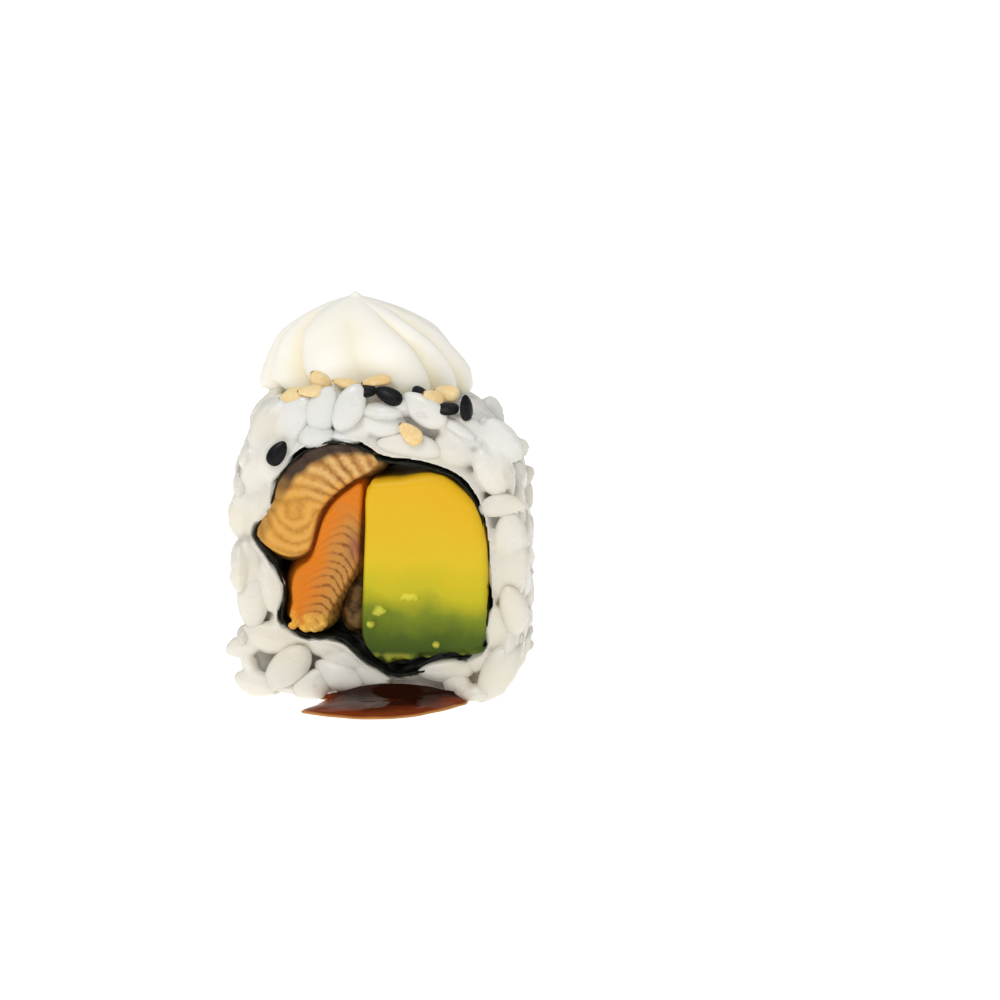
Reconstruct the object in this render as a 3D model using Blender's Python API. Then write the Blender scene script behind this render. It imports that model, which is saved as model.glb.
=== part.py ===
"""Uramaki: one piece cut from an inside-out sushi roll, standing on its rice with a cut face to the front.

A ring of pressed rice holds a sheet of nori, and the nori holds two strips of grilled eel, a baton of
avocado and a scrap of fish. Piped cream cheese sits on top, and a little eel sauce has run out in front.
The origin is the middle of the flat underside, +Z is up, and the front cut face looks along -Y.
"""

import math

import bmesh
import bpy
from mathutils import Vector, noise

MM = 0.001

# The roll: everything is cut to one length, and the knife left two flat faces.
ROLL_LENGTH = 25.0 * MM
FRONT = -ROLL_LENGTH / 2
BACK = ROLL_LENGTH / 2
CLEARANCE = 0.3 * MM
NORI_THICKNESS = 0.3 * MM
ROLL_CENTRE = (0.0, 18.0)
RING_POINTS = 92
SCRAP_RECESS = 2.2 * MM

# The relief that the grains leave in the pressed rice.
GRAIN_PITCH = 4.6 * MM
GRAIN_RELIEF = 0.9 * MM
RICE_LAYERS = 11
FLAT_FOOT = 0.7 * MM
RICE_CORNER = 0.8 * MM

# Cream cheese, piped through a ten-pointed star nozzle. The rice is pressed smooth under it.
CREAM_CENTRE = Vector((-2.6 * MM, 0.5 * MM))
CREAM_RADIUS_X = 13.8 * MM
CREAM_RADIUS_Y = 11.4 * MM
CREAM_TOP = 50.4 * MM
CREAM_LOBES = 10
CREAM_LOBE_DEPTH = 0.085
CREAM_TWIST = 0.35
CREAM_TIP_LEAN = -1.9 * MM
CREAM_PRESS_FADE = 0.15

# Eel sauce, which wets the foot of the front face and runs out over the surface.
SAUCE_FILM = 0.75 * MM
SAUCE_CLIMB = 2.3 * MM
SAUCE_CLIMB_REACH = 1.3 * MM
SAUCE_RIM = 0.2 * MM

# Outlines across the roll, as (x, z) in millimetres, anticlockwise as the front is looked at.
RICE_OUTLINE = [
    (15.4, 0.0), (17.4, 2.8), (18.4, 9.0), (18.7, 16.5), (18.1, 24.0), (16.4, 30.5), (12.9, 35.0),
    (7.8, 37.6), (0.3, 38.5), (-7.3, 38.9), (-13.4, 38.4), (-16.8, 35.6), (-18.0, 31.8), (-19.4, 28.2),
    (-18.8, 24.8), (-19.0, 20.5), (-18.9, 14.0), (-18.1, 10.2), (-19.0, 6.2), (-17.4, 2.6), (-15.2, 0.0),
    (-8.0, 0.0), (0.0, 0.0), (8.0, 0.0),
]
HOLE_OUTLINE = [
    (14.0, 17.5), (13.1, 24.0), (10.6, 28.2), (6.0, 30.2), (0.8, 30.9), (-2.2, 32.6), (-6.2, 33.0),
    (-10.0, 31.4), (-12.9, 28.2), (-13.8, 24.8), (-16.0, 21.0), (-13.9, 17.6), (-12.3, 13.8),
    (-12.6, 9.7), (-9.0, 7.5), (-4.8, 7.2), (-1.8, 4.7), (2.1, 2.7), (8.0, 4.1), (13.0, 6.0), (14.2, 10.5),
]
AVOCADO_OUTLINE = [
    (12.8, 13.0), (12.7, 19.5), (11.6, 24.2), (9.6, 26.8), (7.2, 28.4), (4.5, 28.8), (0.3, 28.5),
    (-1.4, 27.6), (-1.6, 22.0), (-1.9, 14.0), (-2.0, 8.2), (-0.4, 5.6), (1.4, 4.9), (4.0, 5.6),
    (8.0, 6.2), (11.8, 6.9), (12.6, 8.2),
]
UPPER_EEL_OUTLINE = [
    (0.1, 29.8), (-2.3, 31.5), (-6.1, 31.9), (-9.4, 30.4), (-11.9, 27.7), (-12.8, 24.6), (-14.7, 21.1),
    (-13.5, 19.2), (-11.2, 18.0), (-8.9, 18.6), (-8.1, 20.5), (-7.4, 23.4), (-5.8, 25.6), (-3.4, 27.5),
]
LOWER_EEL_OUTLINE = [
    (-1.9, 27.3), (-3.5, 26.6), (-5.5, 24.9), (-6.9, 22.6), (-7.7, 20.0), (-8.5, 17.8), (-10.3, 16.3),
    (-10.9, 14.2), (-10.8, 12.2), (-11.2, 10.5), (-9.9, 9.3), (-7.9, 8.9), (-6.5, 9.8), (-5.7, 11.5),
    (-4.3, 13.9), (-3.0, 16.2), (-2.4, 17.6), (-2.3, 19.5), (-2.1, 23.0),
]
SCRAP_OUTLINE = [
    (-2.3, 15.0), (-3.3, 13.6), (-4.0, 11.6), (-3.7, 9.6), (-2.8, 8.9), (-2.3, 10.4), (-2.25, 13.0),
]
# The sauce on the surface, as (x, distance in front of the cut face) in millimetres, clockwise from above.
SAUCE_OUTLINE = [
    (10.9, 0.2), (9.6, 3.3), (7.8, 6.2), (4.6, 9.8), (0.3, 11.4), (-4.1, 10.3), (-7.4, 8.8), (-8.5, 7.2),
    (-7.0, 3.0), (-5.6, 0.2), (0.0, 0.0), (6.0, 0.0),
]


def clear_scene():
    for obj in list(bpy.data.objects):
        bpy.data.objects.remove(obj, do_unlink=True)


def food_material(name, colour, roughness):
    material = bpy.data.materials.new(name)
    material.use_nodes = True
    shader = material.node_tree.nodes["Principled BSDF"]
    shader.inputs["Base Color"].default_value = (*colour, 1.0)
    shader.inputs["Roughness"].default_value = roughness
    shader.inputs["Metallic"].default_value = 0.0
    return material


def add_object(name, bm, material, smooth_angle=40.0):
    bmesh.ops.recalc_face_normals(bm, faces=bm.faces)
    mesh = bpy.data.meshes.new(name)
    bm.to_mesh(mesh)
    bm.free()
    mesh.shade_smooth()
    mesh.set_sharp_from_angle(angle=math.radians(smooth_angle))
    mesh.materials.append(material)
    obj = bpy.data.objects.new(name, mesh)
    bpy.context.scene.collection.objects.link(obj)
    return obj


def smooth_curve(points, steps=12):
    """A closed Catmull-Rom curve through (x, z) points in millimetres, as points in metres."""
    knots = [Vector(p) * MM for p in points]
    total = len(knots)
    curve = []
    for i in range(total):
        before, start, end, after = (knots[(i + k - 1) % total] for k in range(4))
        for step in range(steps):
            t = step / steps
            curve.append(0.5 * (
                2 * start
                + (end - before) * t
                + (2 * before - 5 * start + 4 * end - after) * t ** 2
                + (3 * start - before - 3 * end + after) * t ** 3
            ))
    return curve


def spaced_points(points, count):
    """The same closed curve with count points at equal distances along it."""
    curve = smooth_curve(points)
    curve.append(curve[0])
    lengths = [(b - a).length for a, b in zip(curve, curve[1:])]
    pace = sum(lengths) / count
    spaced = []
    walked = 0.0
    for start, end, length in zip(curve, curve[1:], lengths):
        while len(spaced) * pace < walked + length and len(spaced) < count:
            spaced.append(start.lerp(end, (len(spaced) * pace - walked) / length))
        walked += length
    return spaced


def ring_points(points, count):
    """The same closed curve met by count rays, evenly spread round the middle of the roll."""
    centre = Vector(ROLL_CENTRE) * MM
    curve = smooth_curve(points)
    met = []
    for i in range(count):
        angle = 2 * math.pi * i / count
        ray = Vector((math.cos(angle), math.sin(angle)))
        side = Vector((-ray.y, ray.x))
        for start, end in zip(curve, curve[1:] + curve[:1]):
            a, b = start - centre, end - centre
            across_a, across_b = a.dot(side), b.dot(side)
            if across_a <= 0 < across_b and (a + b).dot(ray) > 0:
                met.append(centre + a.lerp(b, across_a / (across_a - across_b)))
                break
    return met


def inset(points, distance):
    """An anticlockwise outline moved inwards by this distance."""
    moved = []
    for before, point, after in zip(points[-1:] + points[:-1], points, points[1:] + points[:1]):
        along = (after - before).normalized()
        moved.append(point + Vector((-along.y, along.x)) * distance)
    return moved


def add_loop(bm, points, y):
    """A closed loop of edges across the roll at this y."""
    verts = [bm.verts.new((p.x, y, p.y)) for p in points]
    return [bm.edges.new(pair) for pair in zip(verts, verts[1:] + verts[:1])]


def next_loop(bm, edges, places):
    """Extrudes a loop of edges to the given places, which follow the loop's own order."""
    made = bmesh.ops.extrude_edge_only(bm, edges=edges)["geom"]
    verts = [v for v in made if isinstance(v, bmesh.types.BMVert)]
    for vert, place in zip(verts, places):
        vert.co = place
    return [e for e in made if isinstance(e, bmesh.types.BMEdge)]


def across(points, y):
    return [Vector((p.x, y, p.y)) for p in points]


def bar(name, points, start, end, material, edge=0.5 * MM):
    """A filling: one outline run through the roll, with softened ends."""
    bm = bmesh.new()
    softened = inset(points, edge * 0.6)
    stations = [(points, start + edge), (points, end - edge), (softened, end)]
    first = edges = add_loop(bm, softened, start)
    for outline, y in stations:
        edges = next_loop(bm, edges, across(outline, y))
    for rim in (first, edges):
        bmesh.ops.contextual_create(bm, geom=rim)
    return add_object(name, bm, material)


def grain_dent(point):
    """How far the rice lies under its outline at a point: nothing on a grain's back, most between grains."""
    nearest = noise.voronoi(point / GRAIN_PITCH)[0][0]
    return GRAIN_RELIEF * min(1.0, nearest / 0.75) ** 2


def pressed_by_cream(x, y):
    """1 where the cream sits on the rice, falling to 0 just outside it."""
    reach = math.hypot((x - CREAM_CENTRE.x) / CREAM_RADIUS_X, (y - CREAM_CENTRE.y) / CREAM_RADIUS_Y)
    return min(1.0, max(0.0, (1.0 + CREAM_PRESS_FADE - reach) / CREAM_PRESS_FADE))


def rice_ring(outer, hole, material):
    """The ring of rice. Its side and its two cut faces carry the dents between the grains."""
    bm = bmesh.new()
    centre = Vector(ROLL_CENTRE) * MM

    def side_loop(y, shrink):
        places = []
        for point in outer:
            place = Vector((point.x, y, point.y))
            standing = min(1.0, max(0.0, point.y / FLAT_FOOT))
            inwards = (centre - point).normalized()
            smooth = pressed_by_cream(point.x, y) if point.y > centre.y else 0.0
            dent = (grain_dent(place) * (1.0 - smooth) + shrink) * standing
            sunk = point + inwards * dent
            places.append(Vector((sunk.x, y, max(0.0, sunk.y))))
        return places

    def face_loop(y, inner_share, sign):
        places = []
        for outer_point, hole_point in zip(outer, hole):
            point = outer_point.lerp(hole_point, inner_share)
            dent = grain_dent(Vector((point.x, y, point.y)))
            places.append(Vector((point.x, y + sign * dent, point.y)))
        return places

    first = edges = add_loop(bm, outer, FRONT)
    for vert, place in zip(list(bm.verts), side_loop(FRONT, RICE_CORNER)):
        vert.co = place
    for layer in range(1, RICE_LAYERS):
        y = FRONT + ROLL_LENGTH * layer / RICE_LAYERS
        edges = next_loop(bm, edges, side_loop(y, 0.0))
    edges = next_loop(bm, edges, side_loop(BACK, RICE_CORNER))
    edges = next_loop(bm, edges, face_loop(BACK, 0.5, -1))
    edges = next_loop(bm, edges, across(hole, BACK))
    edges = next_loop(bm, edges, across(hole, FRONT))
    edges = next_loop(bm, edges, face_loop(FRONT, 0.5, 1))
    bmesh.ops.bridge_loops(bm, edges=first + edges)
    return add_object("rice", bm, material)


def nori_sheet(hole, material):
    """The nori: a thin closed tube that lines the rice from cut face to cut face."""
    bm = bmesh.new()
    outside = inset(hole, CLEARANCE)
    inside = inset(hole, CLEARANCE + NORI_THICKNESS)
    first = add_loop(bm, outside, FRONT)
    edges = next_loop(bm, first, across(outside, BACK))
    edges = next_loop(bm, edges, across(inside, BACK))
    edges = next_loop(bm, edges, across(inside, FRONT))
    bmesh.ops.bridge_loops(bm, edges=first + edges)
    return add_object("nori", bm, material)


def rice_top(x, outer):
    """The height of the rice's outline over this x, on the upper half of the roll."""
    for start, end in zip(outer, outer[1:] + outer[:1]):
        above = min(start.y, end.y) > ROLL_CENTRE[1] * MM
        if above and start.x >= x > end.x:
            return start.lerp(end, (start.x - x) / (start.x - end.x)).y
    return ROLL_CENTRE[1] * MM


def cream_radius(height_share, angle):
    """The cream's half width, as a share of its widest, at a height from 0 at the base to 1 at the tip."""
    dome = (1.0 - height_share ** 2.4) ** 0.85
    tucked = 1.0 - 0.10 * max(0.0, 1.0 - height_share / 0.16) ** 2
    grooved = abs(math.cos(CREAM_LOBES / 2 * (angle + CREAM_TWIST * height_share))) ** 0.6
    lobes = 1.0 - CREAM_LOBE_DEPTH * (1.0 - grooved)
    return dome * tucked * lobes


def cream_kiss(outer, material):
    """The piped cream: a ridged dome drawn up to a leaning tip, its underside lying along the rice."""
    bm = bmesh.new()
    bmesh.ops.create_uvsphere(bm, u_segments=60, v_segments=20, radius=1.0)
    for vert in bm.verts:
        angle = math.atan2(vert.co.y, vert.co.x)
        polar = math.acos(max(-1.0, min(1.0, vert.co.z)))
        share = max(0.0, 1.0 - polar / (0.62 * math.pi))
        if share > 0.0:
            height = math.sin(share * math.pi / 2) ** 1.15
            spread = cream_radius(height, angle)
        else:
            height = 0.0
            spread = cream_radius(0.0, angle) * (math.pi - polar) / (0.38 * math.pi)
        lean = CREAM_TIP_LEAN * height ** 2
        x = CREAM_CENTRE.x + lean + CREAM_RADIUS_X * spread * math.cos(angle)
        y = CREAM_CENTRE.y + CREAM_RADIUS_Y * spread * math.sin(angle)
        base = rice_top(x, outer) + CLEARANCE
        vert.co = (x, y, base + (CREAM_TOP - base) * height)
    return add_object("cream", bm, material)


def sauce_climb(distance):
    """How much higher the sauce stands, at a distance in front of the cut face, for wetting the rice."""
    return SAUCE_CLIMB * math.exp(-(distance / SAUCE_CLIMB_REACH) ** 2)


def sauce_pool(material):
    """The run-out sauce: a flat underside, a thin rim and a domed top that climbs towards the rice."""
    bm = bmesh.new()
    rim = spaced_points(SAUCE_OUTLINE, 44)
    middle = Vector((1.0, 4.6)) * MM
    face = FRONT - CLEARANCE

    def ring(share, film):
        places = []
        for point in rim:
            inner = middle.lerp(point, share)
            distance = max(0.0, inner.y)
            climb = sauce_climb(distance) if film else 0.0
            places.append(Vector((inner.x, face - distance, film + climb)))
        return places

    first = edges = add_loop(bm, rim, 0.0)
    for vert, place in zip(list(bm.verts), ring(1.0, 0.0)):
        vert.co = place
    edges = next_loop(bm, edges, ring(1.0, SAUCE_RIM))
    for share in (0.94, 0.8, 0.55, 0.25):
        film = SAUCE_RIM + (SAUCE_FILM - SAUCE_RIM) * math.sqrt(1.0 - share ** 4)
        edges = next_loop(bm, edges, ring(share, film))
    for rim_edges in (first, edges):
        bmesh.ops.contextual_create(bm, geom=rim_edges)
    return add_object("sauce", bm, material)


clear_scene()
rice_outer = ring_points(RICE_OUTLINE, RING_POINTS)
rice_hole = ring_points(HOLE_OUTLINE, RING_POINTS)

rice_ring(rice_outer, rice_hole, food_material("rice", (0.80, 0.77, 0.70), 0.45))
nori_sheet(rice_hole, food_material("nori", (0.012, 0.014, 0.010), 0.40))
eel_flesh = food_material("eel", (0.68, 0.33, 0.09), 0.50)
bar("eel_upper", spaced_points(UPPER_EEL_OUTLINE, 48), FRONT, BACK, eel_flesh)
bar("eel_lower", spaced_points(LOWER_EEL_OUTLINE, 52), FRONT, BACK, eel_flesh)
bar("avocado", spaced_points(AVOCADO_OUTLINE, 56), FRONT, BACK, food_material("avocado", (0.76, 0.53, 0.04), 0.45))
bar(
    "fish_scrap", spaced_points(SCRAP_OUTLINE, 20), FRONT + SCRAP_RECESS, BACK - SCRAP_RECESS,
    food_material("fish_scrap", (0.20, 0.12, 0.05), 0.40), edge=0.4 * MM,
)
cream_kiss(rice_outer, food_material("cream", (0.93, 0.88, 0.76), 0.50))
sauce_pool(food_material("sauce", (0.06, 0.012, 0.006), 0.12))
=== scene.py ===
"""Uramaki slice: pressed rice round nori, grilled eel and avocado, with piped cream cheese and eel sauce."""

import math
import random

import bmesh
import bpy
import numpy as np
from mathutils import Matrix, Vector, noise
from mathutils.bvhtree import BVHTree


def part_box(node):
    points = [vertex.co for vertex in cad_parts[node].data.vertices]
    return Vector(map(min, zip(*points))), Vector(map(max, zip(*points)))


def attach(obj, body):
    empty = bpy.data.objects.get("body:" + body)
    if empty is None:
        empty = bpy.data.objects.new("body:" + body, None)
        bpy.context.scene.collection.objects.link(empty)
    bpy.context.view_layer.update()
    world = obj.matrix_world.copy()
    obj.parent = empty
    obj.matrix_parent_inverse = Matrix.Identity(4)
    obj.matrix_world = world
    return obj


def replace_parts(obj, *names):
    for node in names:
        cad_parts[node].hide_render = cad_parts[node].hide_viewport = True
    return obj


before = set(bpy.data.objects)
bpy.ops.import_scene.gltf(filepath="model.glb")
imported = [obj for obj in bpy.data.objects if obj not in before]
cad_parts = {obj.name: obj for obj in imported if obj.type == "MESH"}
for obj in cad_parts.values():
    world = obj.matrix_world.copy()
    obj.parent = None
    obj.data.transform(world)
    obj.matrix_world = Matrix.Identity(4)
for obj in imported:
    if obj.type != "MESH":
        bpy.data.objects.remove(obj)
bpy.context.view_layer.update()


# ---- Rice, the fused mass -------------------------------------------------------------------------------
# Cooked short-grain rice is pressed round the roll, so most grains half melt into each other. The core is
# that mass: the ring, sunk a little, with its outer grains joined to it and softened into one skin. The
# grains seen on the front cut face are laid one by one, and the others are thrown.

MM = 0.001
rice_low, rice_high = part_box("rice")
FRONT = rice_low.y
BACK = rice_high.y
ROLL_CENTRE = Vector((0.0, 0.0, 18.0 * MM))
CORE_SINK = 1.6 * MM
CORE_VOXEL = 0.25 * MM
CORE_KEPT = 0.5
BURIED_DEPTH = 1.3 * MM
GRAIN_LENGTH = (5.6 * MM, 7.2 * MM)
GRAIN_WIDTH = (3.3 * MM, 4.1 * MM)
GRAIN_DEPTH = (2.4 * MM, 2.9 * MM)
GRAIN_ENDS = (-0.3, 0.0, 0.3)
SIDE_ROOM = 0.3 * MM
RIGHT_TAPER = 0.05
VALLEY_DEPTH = 1.3 * MM
CORNER_SLOPE = 51.6 * MM
CORNER_SLUMP = 0.158
SPOT_TURN = 0.17
FAR_OUT = 60
NORI_CLEAR = 2.1 * MM
CORE_NEAR_NORI = 0.8 * MM
FLOOR_GAP = 0.04 * MM


def cad_tree(node):
    """A CAD node as a tree that answers rays and nearest points."""
    bm = bmesh.new()
    bm.from_mesh(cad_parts[node].data)
    tree = BVHTree.FromBMesh(bm)
    bm.free()
    return tree


rice_tree = cad_tree("rice")
nori_tree = cad_tree("nori")


def side_spot(angle, y):
    """A point on the roll's side at this angle round it, and the way the side faces there."""
    met = []
    for turn in (angle - SPOT_TURN, angle, angle + SPOT_TURN):
        ray = Vector((math.cos(turn), 0.0, math.sin(turn)))
        start = ROLL_CENTRE + Vector((0.0, y, 0.0)) + ray * FAR_OUT * MM
        met.append(rice_tree.ray_cast(start, -ray)[0])
    along = met[2] - met[0]
    return met[1], Vector((along.z, 0.0, -along.x)).normalized()


def face_spot(x, z, end):
    """A point on the front or back cut face of the rice, or None over the fillings. end is -1 or 1."""
    start = Vector((x, end * 40 * MM, z))
    point = rice_tree.ray_cast(start, Vector((0.0, -end, 0.0)))[0]
    if point is None or abs(point.y) < abs(FRONT) - 2.5 * MM:
        return None
    return Vector((x, end * abs(FRONT), z)), Vector((0.0, end, 0.0))


def past_corner(point, slope):
    """How far a point is past the rice's sloped upper right corner, which is lower towards the back."""
    return max(0.0, point.x + point.z + CORNER_SLUMP * (point.y - FRONT) - slope) / 2


def random_side_spot(rng):
    return side_spot(rng.uniform(0.0, 2 * math.pi), rng.uniform(FRONT + 1.2 * MM, BACK - 1.2 * MM))


def random_face_spot(rng, end):
    spot = face_spot(rng.uniform(rice_low.x, rice_high.x), rng.uniform(1.6 * MM, rice_high.z), end)
    if spot is None:
        return None
    point, facing = spot
    edge = point + Vector((0.0, -end * 3 * MM, 0.0))
    if nori_tree.find_nearest(edge)[3] < NORI_CLEAR:
        return None
    return spot


def throw_grains(rng, tries, pick_spot, spacing, taken=()):
    """Grains thrown one by one at the rice: each stays only where it doesn't lie on one already there."""
    grains = list(taken)
    centres = [g["ends"] for g in grains]
    for _ in range(tries):
        spot = pick_spot(rng)
        if spot is None:
            continue
        point, facing = spot
        along = Matrix.Rotation(rng.uniform(0.0, math.pi), 3, facing) @ facing.orthogonal().normalized()
        length = rng.uniform(*GRAIN_LENGTH)
        room = BACK - abs(along.y) * length * 0.5
        point = Vector((point.x, max(-room, min(room, point.y)) if facing.y == 0.0 else point.y, point.z))
        ends = np.array([point + along * length * share for share in GRAIN_ENDS])
        if centres:
            gaps = np.array(centres).reshape(-1, 1, 3) - ends.reshape(1, -1, 3)
            if (gaps ** 2).sum(2).min() < spacing ** 2:
                continue
        grains.append({
            "point": point, "facing": facing, "along": along, "length": length, "ends": ends,
            "width": rng.uniform(*GRAIN_WIDTH), "depth": rng.uniform(*GRAIN_DEPTH), "tone": rng.random(),
        })
        centres.append(ends)
    return grains[len(taken):]


def add_grain(bm, grain, sink, rng, segments=8, rings=6):
    """One cooked grain: an almond, a little bent, tapered and flattened, lying sink deep under its spot."""
    tone = bm.verts.layers.float.get("tone") or bm.verts.layers.float.new("tone")
    lit_share = bm.verts.layers.float.get("lit_share") or bm.verts.layers.float.new("lit_share")
    along = (grain["along"] + grain["facing"] * rng.uniform(-0.1, 0.1)).normalized()
    side = grain["facing"].cross(along).normalized()
    up = along.cross(side)
    centre = grain["point"] - grain["facing"] * sink
    taper, bend = rng.uniform(-0.22, 0.22), rng.uniform(-0.14, 0.14)
    flat, point = rng.uniform(0.1, 0.35), rng.uniform(0.0, 0.2)
    made = bmesh.ops.create_uvsphere(bm, u_segments=segments, v_segments=rings, radius=1.0)["verts"]
    for vert in made:
        x, y, t = vert.co
        plump = (1.02 - t * t) ** point * (1.0 + taper * t) * 0.55
        across = x * plump + bend * (1.0 - t * t)
        deep = y * plump * (1.0 - flat * abs(y))
        vert[tone] = grain["tone"]
        # Painted shade: each grain is painted greyer towards its tips, where light passes through the clear
        # rice.
        vert[lit_share] = 1.0 - 0.55 * t * t
        vert.co = (
            centre + along * t * grain["length"] * 0.53
            + side * across * grain["width"] + up * deep * grain["depth"]
        )
    right_end = rice_high.x + SIDE_ROOM - RIGHT_TAPER * (centre.y - FRONT)
    shift = Vector((0.0, 0.0, 0.0))
    shift.x = max(0.0, rice_low.x - SIDE_ROOM - min(vert.co.x for vert in made))
    shift.x -= max(0.0, max(vert.co.x for vert in made) - right_end)
    shift.y -= max(0.0, max(vert.co.y for vert in made) - BACK - 2 * SIDE_ROOM)
    slumped = max(past_corner(vert.co, CORNER_SLOPE) for vert in made)
    shift -= Vector((slumped, 0.0, slumped))
    for vert in made:
        vert.co += shift
        vert.co.z = max(FLOOR_GAP, vert.co.z)


def made_piece(bm, name):
    """The bmesh as a smooth-shaded object in the scene; the bmesh is used up."""
    mesh = bpy.data.meshes.new(name)
    bm.to_mesh(mesh)
    bm.free()
    mesh.shade_smooth()
    piece = bpy.data.objects.new(name, mesh)
    bpy.context.scene.collection.objects.link(piece)
    return piece


def melted(bm, name, voxel, passes, kept=1.0):
    """Everything in bm joined into one closed, softened skin, with this share of its faces kept."""
    piece = made_piece(bm, name)
    melt = piece.modifiers.new("melt", "REMESH")
    melt.mode = "VOXEL"
    melt.voxel_size = voxel
    soften = piece.modifiers.new("soften", "SMOOTH")
    soften.factor = 0.5
    soften.iterations = passes
    if kept < 1.0:
        thin = piece.modifiers.new("thin", "DECIMATE")
        thin.ratio = kept
    evaluated = piece.evaluated_get(bpy.context.evaluated_depsgraph_get())
    piece.data = bpy.data.meshes.new_from_object(evaluated)
    piece.modifiers.clear()
    piece.data.shade_smooth()
    return piece


def cad_copy(node):
    """A CAD node's shape as a new bmesh, its loose triangles merged."""
    bm = bmesh.new()
    bm.from_mesh(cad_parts[node].data)
    bmesh.ops.remove_doubles(bm, verts=bm.verts, dist=0.001 * MM)
    return bm


def set_values(piece, name, values):
    """One number a vertex, for the material to read."""
    layer = piece.data.attributes.new(name, "FLOAT", "POINT")
    layer.data.foreach_set("value", np.asarray(values, np.float32))


def places(piece):
    """The piece's vertices as rows of x, y, z."""
    flat = np.empty(len(piece.data.vertices) * 3, np.float32)
    piece.data.vertices.foreach_get("co", flat)
    return flat.reshape(-1, 3).astype(float)


def put_places(piece, rows):
    piece.data.vertices.foreach_set("co", np.asarray(rows, np.float32).ravel())
    piece.data.update()


# Each is (x, z, turn in degrees, length, width, how far it stands proud, how loose), in millimetres. Those
# with looseness 1 keep their own shape in the next section; the others melt into this mass.
FRONT_GRAINS = [
    (-16.9, 16.7, 84, 6.6, 3.9, 0.1, 0), (-15.6, 12.6, 88, 7.4, 4.0, 0.4, 1),
    (-13.9, 14.2, 102, 6.6, 3.5, 0.2, 0), (-13.6, 8.0, 168, 7.2, 3.9, 0.3, 0),
    (-17.0, 6.3, 12, 4.6, 2.8, 0.2, 0), (-6.7, 6.3, 168, 5.6, 2.7, 0.2, 0),
    (-11.4, 4.0, 42, 7.0, 4.2, 1.0, 1), (-4.3, 4.9, 166, 6.0, 2.8, 0.3, 0),
    (-5.0, 3.0, 152, 6.6, 3.6, 0.6, 1), (-8.3, 2.2, 32, 5.4, 3.9, 0.7, 1),
    (-15.6, 2.0, 165, 5.4, 3.4, 0.2, 0), (-0.9, 2.9, 150, 4.8, 2.8, 0.1, 0),
    (16.9, 11.5, 97, 6.4, 3.5, 0.8, 1), (14.8, 3.8, 60, 8.4, 4.1, 1.0, 1),
    (8.5, 3.9, 4, 6.9, 2.9, 0.4, 1), (9.8, 1.9, 125, 5.0, 3.2, 0.4, 0),
    (15.3, 16.6, 84, 7.2, 3.6, 0.1, 0), (17.3, 17.2, 86, 6.2, 3.6, 0.1, 0),
    (14.9, 9.0, 92, 6.0, 3.4, 0.0, 0), (12.6, 5.2, 30, 4.6, 2.8, 0.0, 0),
    (3.9, 31.8, 172, 8.0, 3.1, 0.3, 1), (9.8, 31.6, 150, 6.0, 3.6, 0.1, 0),
    (13.9, 28.9, 116, 6.4, 3.9, 0.2, 0), (15.4, 24.5, 8, 5.8, 2.8, 0.4, 1),
    (16.1, 21.0, 84, 6.2, 4.2, 0.1, 0), (-7.8, 33.1, 12, 4.6, 3.2, 0.3, 1),
    (-13.9, 24.8, 66, 5.8, 3.6, 0.1, 0), (-17.0, 23.4, 84, 6.8, 4.0, 0.1, 0),
    (-6.6, 36.5, 74, 6.0, 3.8, 0.7, 1), (-3.6, 36.9, 64, 6.2, 3.7, 1.0, 1),
    (0.6, 35.2, 170, 6.2, 3.4, 0.2, 0), (5.9, 36.8, 146, 6.2, 3.5, 0.8, 1),
    (10.2, 34.6, 160, 6.8, 3.8, 0.2, 0), (-15.6, 29.0, 74, 7.0, 4.2, 0.1, 0),
    (-12.4, 30.6, 60, 6.8, 4.0, 0.1, 0), (-10.6, 35.0, 62, 6.8, 4.0, 0.2, 0),
    (-14.2, 34.0, 70, 6.4, 4.0, 0.1, 0), (-3.2, 33.4, 20, 5.6, 3.2, 0.0, 0),
    (15.6, 33.0, 130, 6.4, 4.0, 0.1, 0),
]


def laid_grains(loose):
    """The grains laid on the front cut face, either the loose ones or those that melt into the mass."""
    rng = random.Random(5)
    grains = []
    for x, z, turn, length, width, proud, looseness in FRONT_GRAINS:
        tone = rng.uniform(0.35, 1.0)
        if looseness != loose:
            continue
        heading = math.radians(turn)
        along = Vector((math.cos(heading), 0.0, math.sin(heading)))
        point = Vector((x * MM, FRONT - proud * MM, z * MM))
        grains.append({
            "point": point, "facing": Vector((0.0, -1.0, 0.0)), "along": along, "length": length * MM,
            "ends": np.array([point + along * length * MM * share for share in GRAIN_ENDS]),
            "width": width * MM, "depth": 2.7 * MM, "tone": tone,
        })
    return grains


core_rng = random.Random(11)
buried = throw_grains(core_rng, 3400, random_side_spot, 2.5 * MM)
buried += throw_grains(core_rng, 1200, lambda rng: random_face_spot(rng, 1), 2.4 * MM)
laid = laid_grains(0)
buried += laid + throw_grains(core_rng, 1200, lambda rng: random_face_spot(rng, -1), 2.3 * MM,
                              laid + laid_grains(1))

core_bm = cad_copy("rice")
for vert in core_bm.verts:
    if nori_tree.find_nearest(vert.co)[3] > CORE_NEAR_NORI:
        outwards = Vector((vert.co.x, 0.0, vert.co.z - ROLL_CENTRE.z)).normalized()
        slumped = past_corner(vert.co, CORNER_SLOPE)
        vert.co -= outwards * CORE_SINK + Vector((slumped, 0.0, slumped))
        vert.co.y -= math.copysign(CORE_SINK, vert.co.y) * (abs(vert.co.y) > BACK - 1.5 * MM)
        vert.co.z = max(FLOOR_GAP, vert.co.z)
for grain in buried:
    add_grain(core_bm, grain, BURIED_DEPTH + core_rng.uniform(-0.3, 0.35) * MM, core_rng)
rice_core = melted(core_bm, "rice_core", CORE_VOXEL, 1, CORE_KEPT)

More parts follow.
